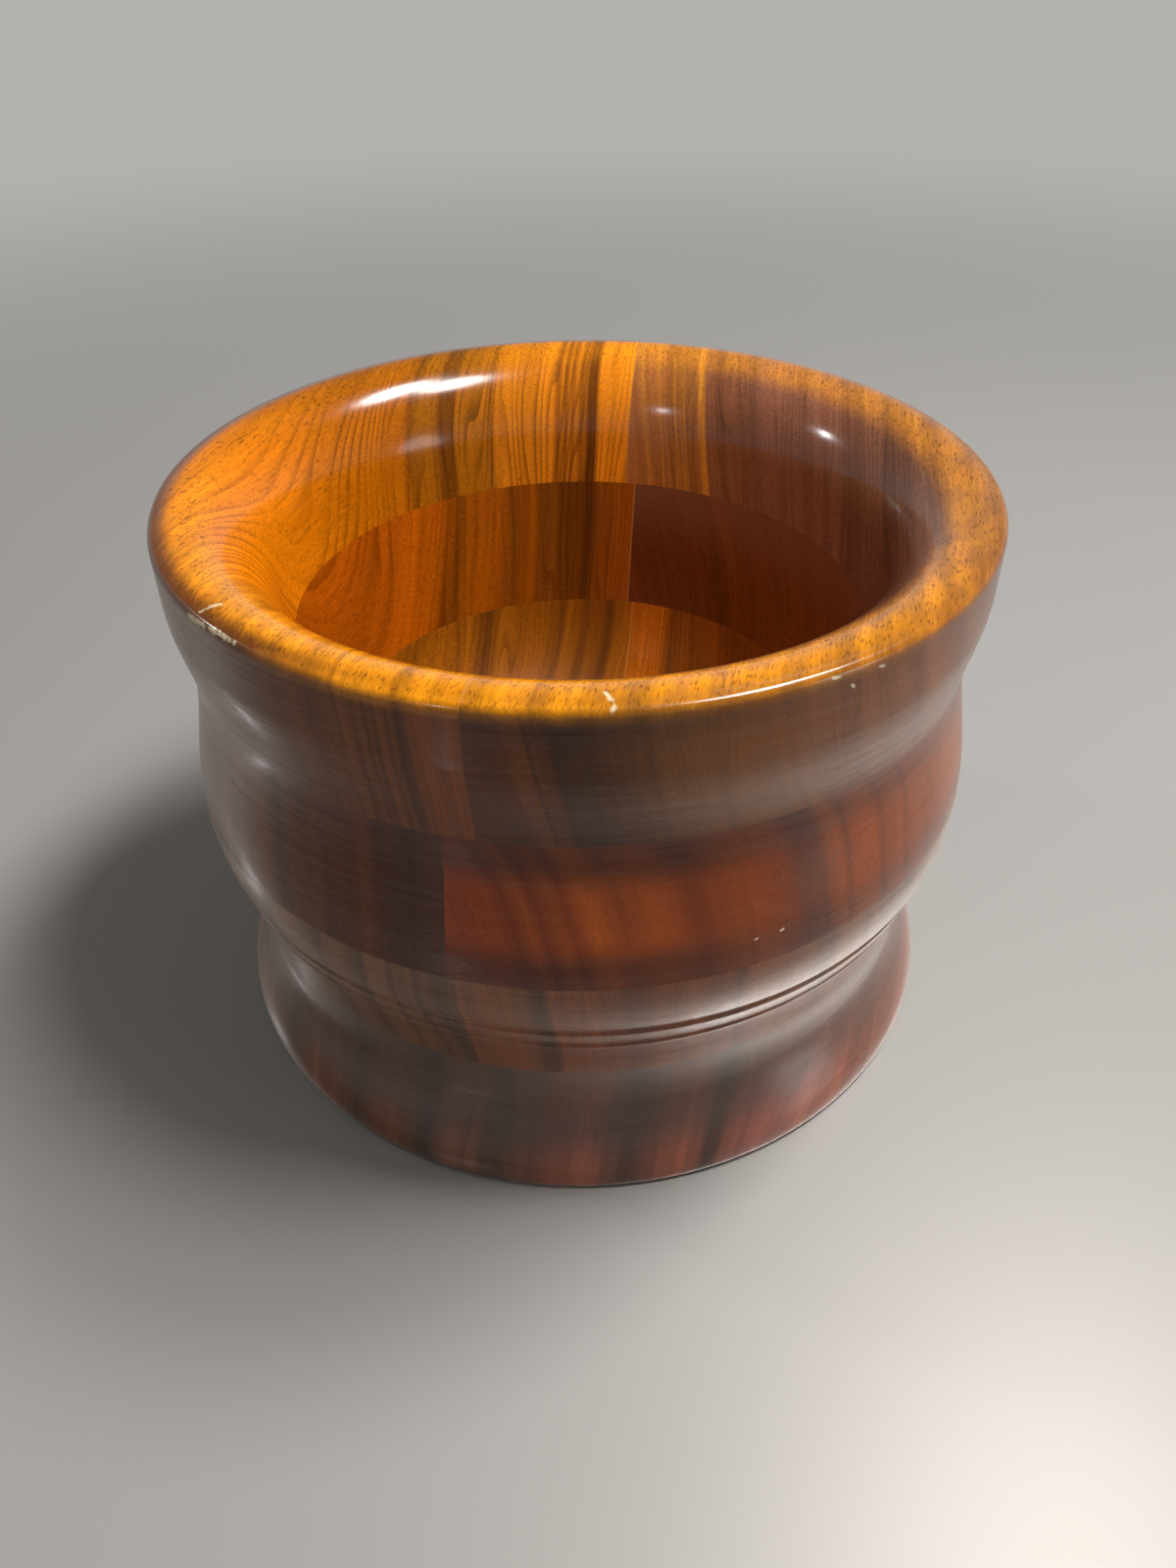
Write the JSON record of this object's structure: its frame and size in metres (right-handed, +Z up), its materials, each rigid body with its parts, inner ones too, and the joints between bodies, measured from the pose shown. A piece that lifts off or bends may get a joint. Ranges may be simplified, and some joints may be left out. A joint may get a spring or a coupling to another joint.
{
  "type": "wooden bowl",
  "caption": "Turned laminated hardwood bowl with a flared rim, narrow neck, swelling belly, scored waist and spreading flat foot; holds small things on a table.",
  "frame": {"origin": "centre of the flat foot, on the table", "axes": "+Z up along the lathe axis; +Y along the wood grain and the edge joints of the belly, waist and foot; +X to the right boards"},
  "size_m": [0.1778, 0.1778, 0.127],
  "materials": {
    "foot_left": "glossy lacquer over dark red-brown striped hardwood",
    "foot_right": "glossy lacquer over dark red-brown striped hardwood",
    "waist_left": "glossy lacquer over olive-brown striped hardwood",
    "waist_right": "glossy lacquer over red-tan striped hardwood",
    "belly_left": "glossy lacquer over blackish brown hardwood",
    "belly_right": "glossy lacquer over red-orange striped hardwood",
    "rim_left": "glossy lacquer over amber hardwood with dark stripes",
    "rim_right": "glossy lacquer over amber-brown hardwood with dark stripes"
  },
  "bodies": {
    "root": {"foot_board_left": "foot_left", "foot_board_right": "foot_right", "waist_board_left": "waist_left", "waist_board_right": "waist_right", "belly_board_left": "belly_left", "belly_board_right": "belly_right", "rim_board_left": "rim_left", "rim_board_right": "rim_right"}
  },
  "joints": []
}
